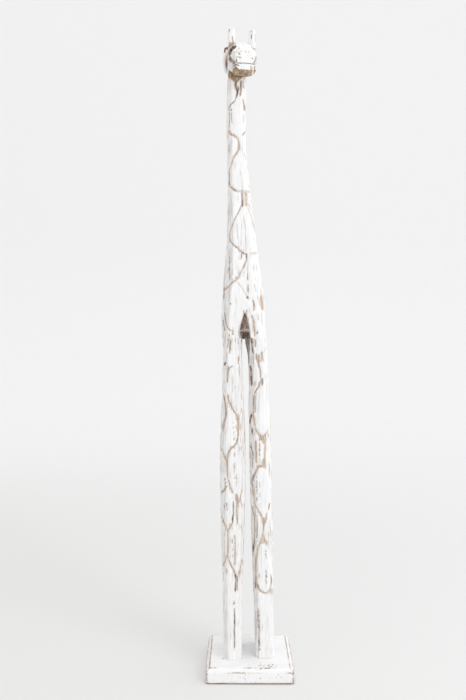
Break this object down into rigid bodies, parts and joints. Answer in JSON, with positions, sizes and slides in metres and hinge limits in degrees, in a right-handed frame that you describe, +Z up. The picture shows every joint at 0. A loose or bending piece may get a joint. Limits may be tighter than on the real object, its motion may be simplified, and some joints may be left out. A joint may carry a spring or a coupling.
{
  "type": "carved giraffe statue",
  "caption": "Tall slender hand-carved wooden giraffe figure with a whitewashed, patch-carved hide, standing on a square bevelled base.",
  "frame": {"origin": "centre of the base's underside", "axes": "+Z up, the giraffe looks along -Y, +X is the giraffe's own left side"},
  "size_m": [0.132, 0.132, 0.996],
  "materials": {
    "whitewashed_wood": "matt whitewash over carved wood, rubbed back to brown on the edges",
    "dowel_wood": "plain",
    "screw_steel": "zinc plated"
  },
  "bodies": {
    "root": {"base_plate": "whitewashed_wood", "leg_front_right": "whitewashed_wood", "leg_front_left": "whitewashed_wood", "leg_rear_right": "whitewashed_wood", "leg_rear_left": "whitewashed_wood", "torso_and_neck": "whitewashed_wood", "head": "whitewashed_wood", "horn_left": "whitewashed_wood", "horn_right": "whitewashed_wood", "ear_left": "whitewashed_wood", "ear_right": "whitewashed_wood", "tail": "whitewashed_wood", "head_dowel": "dowel_wood", "leg_dowels": "dowel_wood", "base_screws": "screw_steel"}
  },
  "joints": []
}
